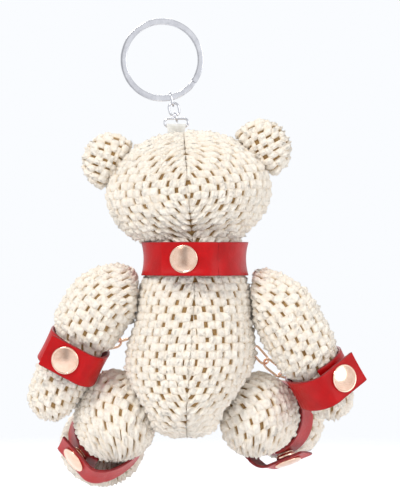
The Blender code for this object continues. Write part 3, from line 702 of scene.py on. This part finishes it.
def plush(name, node, body, spine, axis, zero, panels, press=None, seams=(), row=ROW, puff=PUFF,
          pile=PILE, inset=INSET, fill=0.7, seed=1, smooth=4, hollows=0, **plan):
    """One stuffed form: a blown-up backing with bricks of chenille over it."""
    grid = surface_grid(node, spine, axis, zero, **plan)
    grid = smooth_grid(fill_hollows(grid, hollows), smooth)
    press = press or (lambda points: np.zeros(points.shape[:-1]))
    normals = grid_normals(grid)
    held = press(grid)
    grid = grid - normals * (inset * (1 - 0.7 * held) + 0.35 * MM * (1 - held))[..., None]
    around = grid.shape[1]
    turns = np.arange(around) * 360 / around
    radius = np.linalg.norm(np.roll(grid, -1, 1) - grid, axis=2).sum(1) / math.tau
    near = np.zeros(grid.shape[:2])
    for seam in seams:
        gap = np.radians(np.abs((turns - seam + 180) % 360 - 180))[None] * radius[:, None]
        near = np.maximum(near, np.exp(-(gap / SEAM_WIDTH) ** 2))
    pins = np.clip(near * 0.9 + held, 0, 1)
    pins[:2] = pins[-2:] = 1
    grid = inflate(name, grid, pins)
    grid = grid - normals * (near * SEAM_DIP)[..., None]
    normals = grid_normals(grid)
    rng = np.random.default_rng(seed)
    sheets = [Panel(grid, normals, *panel) for panel in panels]
    points, faces, piles, tones = weave_bricks(sheets, grid, press, rng, row, puff, pile)
    back = grid.reshape(-1, 3)
    rings = grid.shape[0]
    back_faces = tube_faces(rings, around)
    faces = [tuple(int(v) + len(back) for v in face if v >= 0) for face in faces]
    indices = [1] * len(back_faces) + [0] * len(faces)
    both = {"pile": np.concatenate([np.zeros(len(back)), piles]),
            "tone": np.concatenate([np.zeros(len(back)), tones])}
    obj = add_piece(name, np.vstack([back, points]), back_faces + faces, [CHENILLE, BACKING], indices,
                    attributes=both)
    settle_normals(obj)
    return finish_piece(obj, body, "cream_pile", node)


def spine_of(node, axis, start_trim, end_trim, bins=7):
    """Middle line of a limb along its axis, trimmed at both ends."""
    points = np.unique(np.round(node_points(node), 6), axis=0)
    direction = np.array(axis.normalized())
    along = points @ direction
    low, high = along.min() + start_trim, along.max() - end_trim
    middle = []
    for mark in np.linspace(low, high, bins):
        near = points[np.argsort(np.abs(along - mark))[:70]]
        centre = (near.min(0) + near.max(0)) / 2
        centre += direction * (mark - centre @ direction)
        middle.append(centre)
    middle = np.array(middle)
    for _ in range(2):
        middle[1:-1] = 0.5 * middle[1:-1] + 0.25 * (middle[:-2] + middle[2:])
    return [Vector(p) for p in middle]


def strap_press(name):
    """A function that is 1 under the strap and 0 a little outside it."""
    inverse = np.array(STRAPS[name][0].inverted())

    def press(points):
        height = points @ inverse[2, :3] + inverse[2, 3]
        return np.clip((STRAP_WIDTH / 2 + 1.6 * MM - np.abs(height)) / (1.6 * MM), 0, 1)
    return press


# ---- straps ----
def strap_frame(name):
    """Frame of a strap: Z along the limb, X out through its snap."""
    radius = STRAP_RADII[name]
    joint = JOINTS[f"{name}_flap_open"]
    z = -Vector(joint["axis"])
    points = node_points(f"{name}_flap")
    centre = points.mean(0)
    x = Vector(np.linalg.eigh(np.cov((points - centre).T))[1][:, 0])
    x = (x - z * x.dot(z)).normalized()
    if x.dot(Vector(centre - node_points(f"{name}_wrap").mean(0))) < 0:
        x = -x
    y = z.cross(x)
    hinge = Vector(joint["pos_m"])
    origin = hinge - x * (radius + FLAP_LIFT + STRAP_THICKNESS) + y * FLAP_HINGE
    return frame_of(origin, z, x), radius


STRAPS = {name: strap_frame(name) for name in STRAP_RADII}


def wrap_middle(radius, skew):
    """(x, y, skew) of the strap's middle line from its under end to its flap's end."""
    middle = radius + STRAP_THICKNESS / 2
    path = []
    turns = 90
    for i in range(turns + 1):
        share = i / turns
        a = -UNDER_END + (WRAP_LEAVES + UNDER_END) * share
        path.append((middle * math.cos(a), middle * math.sin(a), skew * (1 - share)))
    start = Vector(path[-1][:2])
    along = Vector((-math.sin(WRAP_LEAVES), math.cos(WRAP_LEAVES)))
    end = Vector((radius + FLAP_LIFT + STRAP_THICKNESS / 2, -FLAP_HINGE))
    handle = 0.55 * middle
    controls = (start, start + along * handle, end - Vector((0, handle)), end)
    for i in range(1, 25):
        t = i / 24
        weights = ((1 - t) ** 3, 3 * t * (1 - t) ** 2, 3 * t * t * (1 - t), t ** 3)
        x, y = (sum(w * c[k] for w, c in zip(weights, controls)) for k in (0, 1))
        path.append((x, y, 0.0))
    for i in range(1, 19):
        path.append((end.x, -FLAP_HINGE + (FLAP_HINGE + FLAP_END) * i / 18, 0.0))
    return path


def strap_section(across=11, corner=0.22 * MM):
    """Outline of the strap's section as (thickness, width) points, and a material for each side."""
    half_t, half_w = STRAP_THICKNESS / 2, STRAP_WIDTH / 2
    spots = [(half_t, -half_w + corner + (2 * half_w - 2 * corner) * i / (across - 1))
             for i in range(across)]
    spots += [(half_t - corner * 0.3, half_w - corner * 0.3), (half_t - corner, half_w),
              (-half_t + corner, half_w), (-half_t + corner * 0.3, half_w - corner * 0.3)]
    front, back = ([side] * (across - 1) + [1] * 5 for side in (0, 2))
    return spots + [(-a, -b) for a, b in spots], front + back


def strap_mesh(name, place, path, flare):
    """Sweep the strap's section along part of its middle line."""
    spots, kinds = strap_section()
    loops = []
    half_w = STRAP_WIDTH / 2
    for i, (x, y, skew) in enumerate(path):
        ahead, behind = path[min(i + 1, len(path) - 1)], path[max(i - 1, 0)]
        along = Vector((ahead[0] - behind[0], ahead[1] - behind[1], 0)).normalized()
        out = Vector((along.y, -along.x, 0))
        ends = 0.25 * MM if i in (0, len(path) - 1) else 0.0
        loop = []
        for thick, wide in spots:
            proud = flare * (wide / half_w) ** 2
            shrink = 1 - ends / half_w * 0.5
            proud += thick * (1 - ends / MM)
            loop.append(place @ (Vector((x, y, skew + wide * shrink)) + out * proud))
        loops.append(loop)
    return sweep(name, loops, [LEATHER, LEATHER_EDGE, LEATHER_BACK], sharp=50, sides=1, indices=kinds)


def build_strap(name, skew=1.0 * MM, flare=0.25 * MM):
    place, radius = STRAPS[name]
    body = STRAP_BODIES[name]
    path = wrap_middle(radius, skew)
    split = next(i for i, p in enumerate(path) if i > 92 and p[1] > -FLAP_HINGE - 6.0 * MM)
    wrap = strap_mesh(f"{name}_strap", place, path[:split + 1], flare)
    finish_piece(wrap, body, "red_leather", f"{name}_wrap")
    flap = strap_mesh(f"{name}_strap_end", place, path[split:], flare)
    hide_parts(f"{name}_flap")
    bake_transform(flap)
    build_snap(name)


def build_snap(name):
    place, radius = STRAPS[name]
    snap = frame_of(place.translation, place.col[0].xyz, place.col[2].xyz)
    over = radius + FLAP_LIFT

    def raised(level, *spots):
        """A profile in metres from (radius, height above the level) in millimetres."""
        return [(across * MM, level + height * MM) for across, height in spots]

    top = over + STRAP_THICKNESS + 0.05 * MM
    rim = raised(top, (0, -0.9), (0.9, -0.9), (0.9, 0), (4.65, 0), (5, 0.18), (5, 0.62), (4.78, 0.85),
                 (4.5, 0.80), (4.38, 0.74))
    dome = raised(top, *((4.38 * (1 - i / 14), 0.74 + 0.62 * (1 - (1 - i / 14) ** 2))
                         for i in range(1, 15)))
    socket = raised(over, (1.2, -0.3), (3.7, -0.3), (3.75, -0.9), (3.5, -1.5), (2.9, -1.5),
                    (2.7, -1.2), (2.2, -1.5), (1.95, -1.45), (1.95, -0.65), (1.2, -0.65))
    stud = raised(radius, (0, -0.95), (2.5, -0.95), (2.5, -0.5), (0.9, -0.5))
    stud += raised(radius + STRAP_THICKNESS, (0.9, 0.2), (3.2, 0.2), (3.2, 0.5), (2.3, 0.56),
                   (1.5, 0.6), (1.65, 1.2), (1.3, 1.42), (0, 1.42))
    for part, body, profile, shape in (
            ("cap", f"{name}_flap", rounded(rim, 0.12 * MM) + dome, (72, 32)),
            ("socket", f"{name}_flap", rounded(socket + socket[:1]), (48, 40, True)),
            ("stud", STRAP_BODIES[name], rounded(stud), (48, 40))):
        obj = turned(f"{name}_{part}", snap, profile, ROSE_GOLD, *shape)
        finish_piece(obj, body, "rose_gold", f"{name}_snap_{part}")


# ---- rings, links and ribbon ----
def build_split_ring():
    """Two flat coils, pressed together, with the wire's ends stepping over each other."""
    centre = Vector((0, 0, -RING_INNER))
    middle = (RING_INNER + RING_OUTER) / 2
    half_w, half_d = (RING_OUTER - RING_INNER) / 2, RING_DEPTH / 4 - 0.02 * MM
    start = math.radians(222)
    turns = 2.0 * 360 - 8
    loops = []
    count = 240
    outline = box_outline(half_w, half_d, 0.25 * MM, 3)
    for i in range(count + 1):
        share = i / count
        turn = start + math.radians(turns * share)
        step = np.interp(turns * share, [0, turns / 2 - 16, turns / 2 + 16, turns], [-1, -1, 1, 1])
        shift = step * (half_d + 0.02 * MM)
        pinch = 1 - 0.12 * math.exp(-((share - 0.5) / 0.02) ** 2)
        out = Vector((math.cos(turn), 0, math.sin(turn)))
        loops.append([centre + out * (middle + a * pinch) + Vector((0, shift + b, 0))
                      for a, b in outline])
    obj = sweep("split_ring_coils", loops, [SILVER], sharp=40)
    finish_piece(obj, "split_ring", "silver", "split_ring")


def oval_path(length, width, corner, steps=10):
    """Middle line of a link, long in Z and wide in X."""
    half_l, half_w = length / 2, width / 2
    outline = box_outline(half_w, half_l, min(corner, half_l, half_w), steps)
    path = [Vector((x, 0.0, z)) for x, z in outline]
    tidy = [path[0]]
    for point in path[1:]:
        if (point - tidy[-1]).length > 0.02 * MM:
            tidy.append(point)
    if (tidy[0] - tidy[-1]).length < 0.02 * MM:
        tidy.pop()
    return tidy


def build_link(node, body, slot, material, corner):
    place, spans = principal_frame(node)
    path = oval_path(spans[0] - WIRE, spans[1] - WIRE, corner)
    loops = wire_loops([place @ p for p in path], WIRE / 2)
    obj = sweep(node + "_wire", loops, [material], closed_path=True)
    return finish_piece(obj, body, slot, node)


def build_chains():
    for number in (1, 2, 3):
        build_link(f"chain_link_{number}", f"chain_link_{number}", "silver", SILVER, 1.6 * MM)
    for number in range(1, 13):
        build_link(f"wrist_chain_link_{number:02d}", "wrist_chain", "rose_gold", ROSE_GOLD, 2.2 * MM)
    for side in ("left", "right"):
        build_link(f"wrist_staple_{side}", f"arm_{side}", "rose_gold", ROSE_GOLD, 1.4 * MM)
    build_link("loop_ring", "loop_ring", "silver", SILVER, 1.4 * MM)


def build_ribbon():
    """Satin loop: folded over the ring's lower bar and sewn down into the crown."""
    low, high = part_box("hanging_loop")
    half = (high.x - low.x) / 2
    middle = (high.x + low.x) / 2
    radius = (high.y - low.y) / 2
    thickness = 0.4 * MM
    bar_z = high.z - radius
    foot = low.z
    line = []
    for i in range(14):
        line.append(Vector((0, -radius + thickness / 2, foot + (bar_z - foot) * i / 14)))
    for i in range(17):
        a = math.pi - math.pi * i / 16
        bend = radius - thickness / 2
        line.append(Vector((0, bend * math.cos(a), bar_z + bend * math.sin(a))))
    for i in range(1, 15):
        line.append(Vector((0, radius - thickness / 2, bar_z - (bar_z - foot) * i / 14)))
    loops = []
    columns = 25
    for i, spot in enumerate(line):
        along = heading(line, i)
        out = Vector((0, -along.z, along.y))
        share = min(1.0, max(0.0, (bar_z - spot.z) / (bar_z - foot)))
        narrow = 1 - 0.10 * math.sin(math.pi * share)
        front, back = [], []
        for c in range(columns):
            u = -1 + 2 * c / (columns - 1)
            fold = 0.10 * MM * math.sin(u * 9.0 + 1.3) * share
            thin = thickness / 2 * (1.25 if abs(u) > 0.9 else 0.85)
            spot_at = Vector((middle, 0, 0)) + spot + Vector((half * u * narrow, 0, 0))
            front.append(spot_at + out * (thin + fold))
            back.append(spot_at + out * (-thin + fold))
        loops.append(front + back[::-1])
    obj = sweep("satin_loop", loops, [SATIN], sharp=60)
    finish_piece(obj, "head", "white_satin", "hanging_loop")


# ---- face ----
def build_face():
    """A plain teddy face: bead eyes and a satin-stitched nose; its short stitched mouth is built in
    build_mouth.
    """
    turn = HEAD_TURN
    for side in ("left", "right"):
        centre = Vector(node_points(f"eye_{side}").mean(0))
        radius = 2.3 * MM
        away = (centre - HEAD_CENTRE).normalized()
        centre = centre - away * 0.9 * MM
        place = frame_of(centre, away, Vector((0, 0, 1)))
        profile = [(radius * math.sin(math.pi * i / 24), -radius * math.cos(math.pi * i / 24))
                   for i in range(25)]
        obj = turned(f"eye_{side}_bead", place, profile, BEAD, 48)
        finish_piece(obj, "head", "black_bead", f"eye_{side}")
    low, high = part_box("nose")
    centre = (low + high) / 2
    half = Vector(((high.x - low.x) / 2, (high.y - low.y) / 2 + 0.3 * MM, (high.z - low.z) / 2))
    loops = []
    for i in range(1, 24):
        tilt = math.pi * i / 24
        loop = []
        for k in range(90):
            a = math.tau * k / 90
            spot = Vector((half.x * math.sin(tilt) * math.cos(a), half.y * math.sin(tilt) * math.sin(a),
                           half.z * math.cos(tilt)))
            spot.y *= 1 + 0.05 * math.cos(spot.x / (0.16 * MM))    # ridges of upright stitches
            spot.x *= 1 - 0.45 * max(0.0, -spot.z / half.z)        # narrower towards the mouth
            loop.append(centre + turn @ spot)
        loops.append(loop)
    obj = sweep("nose_stitching", loops, [THREAD], sharp=60)
    finish_piece(obj, "head", "brown_thread", "nose")


# ---- build ----
HEAD_LOW, HEAD_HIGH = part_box("head_cover")
HEAD_ROLL = math.radians(4.5)
HEAD_TURN = Matrix.Rotation(HEAD_ROLL, 3, "Y")
HEAD_CENTRE = (HEAD_LOW + HEAD_HIGH) / 2
HEAD_CENTRE.z = HEAD_HIGH.z - 22.0 * MM


def build_plush():
    up = HEAD_TURN @ Vector((0, 0, 1))
    back = Vector((0, 1, 0))
    plush("head_plush", "head_cover", "head", [HEAD_CENTRE], -up, back,
          panels=((90, 90), (270, 90)), seams=(0, 180), seed=3, start_tilt=5, end_tilt=146, step=2.5,
          around=112, smooth=5)
    for side, sign in (("left", 1), ("right", -1)):
        node = f"ear_{side}"
        low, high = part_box(node)
        centre = (low + high) / 2
        outwards = (centre - HEAD_CENTRE)
        outwards.y = 0
        centre -= outwards.normalized() * 2.0 * MM
        plush(f"ear_{side}_plush", node, "head", [centre], -outwards, back,
              panels=((0, 90), (180, 90)), seams=(90, 270), seed=5 + sign, start_tilt=6,
              end_tilt=176, step=5, around=72, smooth=2, row=2.4 * MM, puff=2.9 * MM,
              inset=EAR_INSET)
    low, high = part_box("muzzle")
    muzzle = (low + high) / 2 + Vector((0, 2.0 * MM, 0))
    plush("muzzle_plush", "muzzle", "head", [muzzle], back, Vector((0, 0, 1)), panels=((0, 180),),
          seams=(), seed=9, start_tilt=6, end_tilt=174, step=4, around=72, smooth=1, row=2.2 * MM,
          puff=2.6 * MM, pile=1.0 * MM, inset=-0.9 * MM)
    down = Vector((0, 0, -1))
    spine = spine_of("torso_cover", down, 9.0 * MM, 14.0 * MM)
    plush("torso_plush", "torso_cover", "torso", spine, down, back, panels=((90, 90), (270, 90)),
          seams=(0, 180), seed=13, start_tilt=60, end_tilt=175, step=4, around=112, smooth=6,
          hollows=40)
    for side, sign in (("left", 1), ("right", -1)):
        shoulder = Vector(JOINTS[f"shoulder_{side}"]["pos_m"])
        points = node_points(f"arm_{side}")
        tip = Vector(points[points[:, 2].argmin()])
        axis = tip - shoulder
        spine = spine_of(f"arm_{side}", axis, 9.0 * MM, 8.5 * MM)
        plush(f"arm_{side}_plush", f"arm_{side}", f"arm_{side}", spine, axis, Vector((sign, 0.5, 0.3)),
              panels=((0, 180),), seams=(180,), press=strap_press(f"wrist_{side}"), seed=20 + sign,
              start_tilt=8, end_tilt=174, step=5, around=80)
        low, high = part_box(f"leg_{side}")
        along = Vector(JOINTS[f"ankle_cuff_{side}_turn"]["axis"]).normalized()
        top = (Vector((0, 0, 1)) - along * along.z).normalized()
        pole = top * 0.87 - Vector((sign * 0.5, 0, 0))
        plush(f"leg_{side}_plush", f"leg_{side}", f"leg_{side}", [(low + high) / 2], pole,
              Vector((sign, 0, 0)), panels=((0, 180),), seams=(180,),
              press=strap_press(f"ankle_{side}"),
              seed=30 + sign, start_tilt=5, end_tilt=175, step=4, around=96, inset=LEG_INSETS[side],
              stretch=along * 0.35)


def build_mouth():
    """A short upright stitch under the nose and two curved ones, laid on the muzzle."""
    tree = outside(bpy.data.objects["muzzle_plush"].data)
    low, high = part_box("nose")
    down, side = HEAD_TURN @ Vector((0, 0, -1)), HEAD_TURN @ Vector((1, 0, 0))
    begin = (low + high) / 2 + Vector((0, -0.05, 0))
    turns = [math.radians(10 * i) for i in range(10)]
    lines = [[(0.0, 1.9 + 0.35 * i) for i in range(9)]]
    for sign in (-1, 1):
        lines.append([(sign * 3.2 * (1 - math.cos(t)), 4.7 + 1.3 * math.sin(t)) for t in turns])
    for number, line in enumerate(lines):
        path = []
        for across, below in line:
            hit = tree.ray_cast(begin + side * across * MM + down * below * MM, Vector((0, 1, 0)))[0]
            if hit:
                path.append(hit - Vector((0, 0.15 * MM, 0)))
        for _ in range(3):
            path[1:-1] = [(a + b * 2 + c) / 4 for a, b, c in zip(path, path[1:], path[2:])]
        obj = sweep(f"mouth_stitch_{number + 1}", wire_loops(path, 0.34 * MM, closed=False), [THREAD])
        finish_piece(obj, "head", "brown_thread")


def build_all():
    build_split_ring()
    build_chains()
    build_ribbon()
    build_strap("collar", skew=0.0, flare=0.9 * MM)
    for name in ("wrist_left", "wrist_right", "ankle_left", "ankle_right"):
        build_strap(name)
    build_face()
    build_plush()
    build_mouth()
    for node in ("head_stuffing", "torso_stuffing"):
        mesh = frame["nodes"][node].data
        mesh.materials.clear()
        mesh.materials.append(WADDING)


# ---- studio ----
def build_studio():
    scene = bpy.context.scene
    scene.view_settings.view_transform = "Standard"
    scene.view_settings.look = "None"
    world = bpy.data.worlds.new("studio_world")
    scene.world = world
    world.use_nodes = True
    tree = world.node_tree
    background = tree.nodes["Background"]
    background.inputs["Color"].default_value = srgb(250, 252, 255)

    def calculate(operation, *values):
        """One arithmetic step of the sky's brightness, held between 0 and 1."""
        made = tree.nodes.new("ShaderNodeMath")
        made.operation = operation
        made.use_clamp = True
        for socket, value in zip(made.inputs, values):
            if isinstance(value, bpy.types.NodeSocket):
                tree.links.new(value, socket)
            else:
                socket.default_value = value
        return made.outputs[0]

    split = tree.nodes.new("ShaderNodeSeparateXYZ")
    tree.links.new(tree.nodes.new("ShaderNodeTexCoord").outputs["Generated"], split.inputs[0])
    x, y, z = split.outputs
    card = calculate("MULTIPLY", calculate("MULTIPLY_ADD", x, 9.0, -1.0),
                     calculate("MULTIPLY_ADD", y, 4.0, -1.6))
    card = calculate("MULTIPLY", card, calculate("MULTIPLY_ADD", x, -4.0, 2.4))
    card = calculate("MULTIPLY", card, 0.5)
    overhead = calculate("MULTIPLY", calculate("MULTIPLY_ADD", z, 2.0, -0.4), 0.25)
    below = calculate("MULTIPLY", calculate("MULTIPLY_ADD", z, -2.0, -0.5), 0.6)
    dark = calculate("ADD", card, calculate("ADD", overhead, below))
    tree.links.new(calculate("SUBTRACT", 1.0, dark), background.inputs["Strength"])

    low, high = CAD_BOX
    centre = (low + high) / 2
    floor_z = low.z - 0.012
    bpy.ops.mesh.primitive_circle_add(vertices=96, radius=1.6, fill_type="NGON",
                                      location=(centre.x, centre.y, floor_z))
    floor = bpy.context.object
    floor.name = "studio_floor"
    shader = Shader("pale_floor", Roughness=0.7)
    shader.paint(shader.noise(6, 2.0), 0.3, 0.7, (240, 242, 246), (246, 247, 250))
    nodes = shader.tree.nodes
    reach = shader.add("ShaderNodeVectorMath", {0: shader.place()}, operation="LENGTH").outputs["Value"]
    clear = shader.add("ShaderNodeMapRange", {"Value": reach, "From Min": 0.10, "From Max": 0.42},
                       interpolation_type="SMOOTHSTEP").outputs["Result"]
    fade = shader.add("ShaderNodeMixShader", {0: clear, 1: shader.surface.outputs[0],
                                              2: nodes.new("ShaderNodeBsdfTransparent").outputs[0]})
    shader.tree.links.new(fade.outputs[0], nodes["Material Output"].inputs["Surface"])
    floor.data.materials.append(shader.material)

    def area(name, place, size, power, colour=(1, 1, 1)):
        data = bpy.data.lights.new(name, "AREA")
        data.shape = "DISK"
        data.size = size
        data.energy = power
        data.color = colour
        lamp = bpy.data.objects.new(name, data)
        bpy.context.collection.objects.link(lamp)
        lamp.location = centre + Vector(place)
        lamp.rotation_mode = "QUATERNION"
        lamp.rotation_quaternion = (centre - lamp.location).to_track_quat("-Z", "Y")

    area("key", (0.5, 0.7, 0.75), 0.4, 7.6, (1.0, 0.985, 0.96))
    area("fill", (-0.7, 0.6, 0.2), 0.6, 2.0)
    area("front", (0.2, -0.9, 0.6), 0.7, 6.0)

    data = bpy.data.cameras.new("camera")
    camera = bpy.data.objects.new("camera", data)
    bpy.context.collection.objects.link(camera)
    distance = 0.85
    frame_height = 0.1807
    data.sensor_fit = "VERTICAL"
    data.sensor_height = 24.0
    data.sensor_width = 24.0
    data.lens = 24.0 * distance / frame_height
    camera.location = (-0.01373, distance, -0.08146)
    camera.rotation_euler = (math.radians(90), 0, math.radians(180))
    data.clip_start, data.clip_end = 0.01, 20
    scene.camera = camera


build_studio()
build_all()
